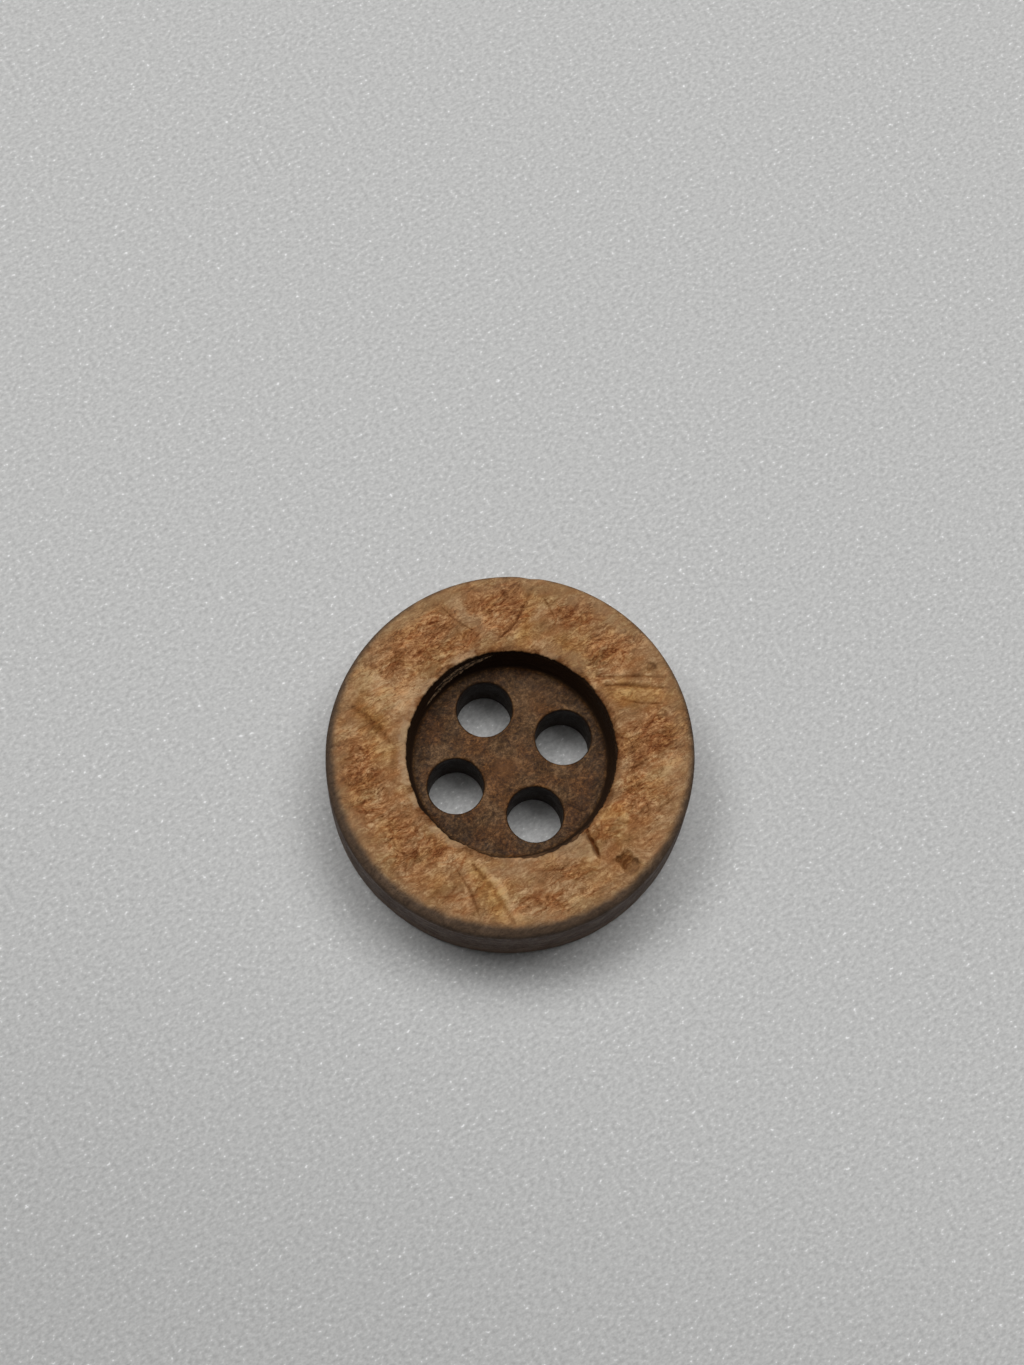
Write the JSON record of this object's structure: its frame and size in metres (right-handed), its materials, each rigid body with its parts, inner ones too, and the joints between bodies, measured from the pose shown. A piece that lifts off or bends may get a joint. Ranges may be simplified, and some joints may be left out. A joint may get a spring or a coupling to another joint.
{
  "type": "sew on button",
  "caption": "Round sew-through button of coconut shell, with a pale raised rim, a dark sunken well and thread holes through its floor.",
  "frame": {"origin": "centre of the flat back face, which lies on the cloth", "axes": "+Z out of the button's face, square to the back; the thread holes stand on the diagonals between X and Y"},
  "size_m": [0.0126, 0.0126, 0.0035],
  "materials": {
    "dark_shell": "hard dark coconut shell, sanded smooth to satin on the side and matte in the well",
    "pale_skin": "fibrous outer skin of the nut, tan with rust-brown patches and short dark pores, matte"
  },
  "bodies": {
    "root": {"shell_core": "dark_shell", "face_ring": "pale_skin"}
  },
  "joints": []
}
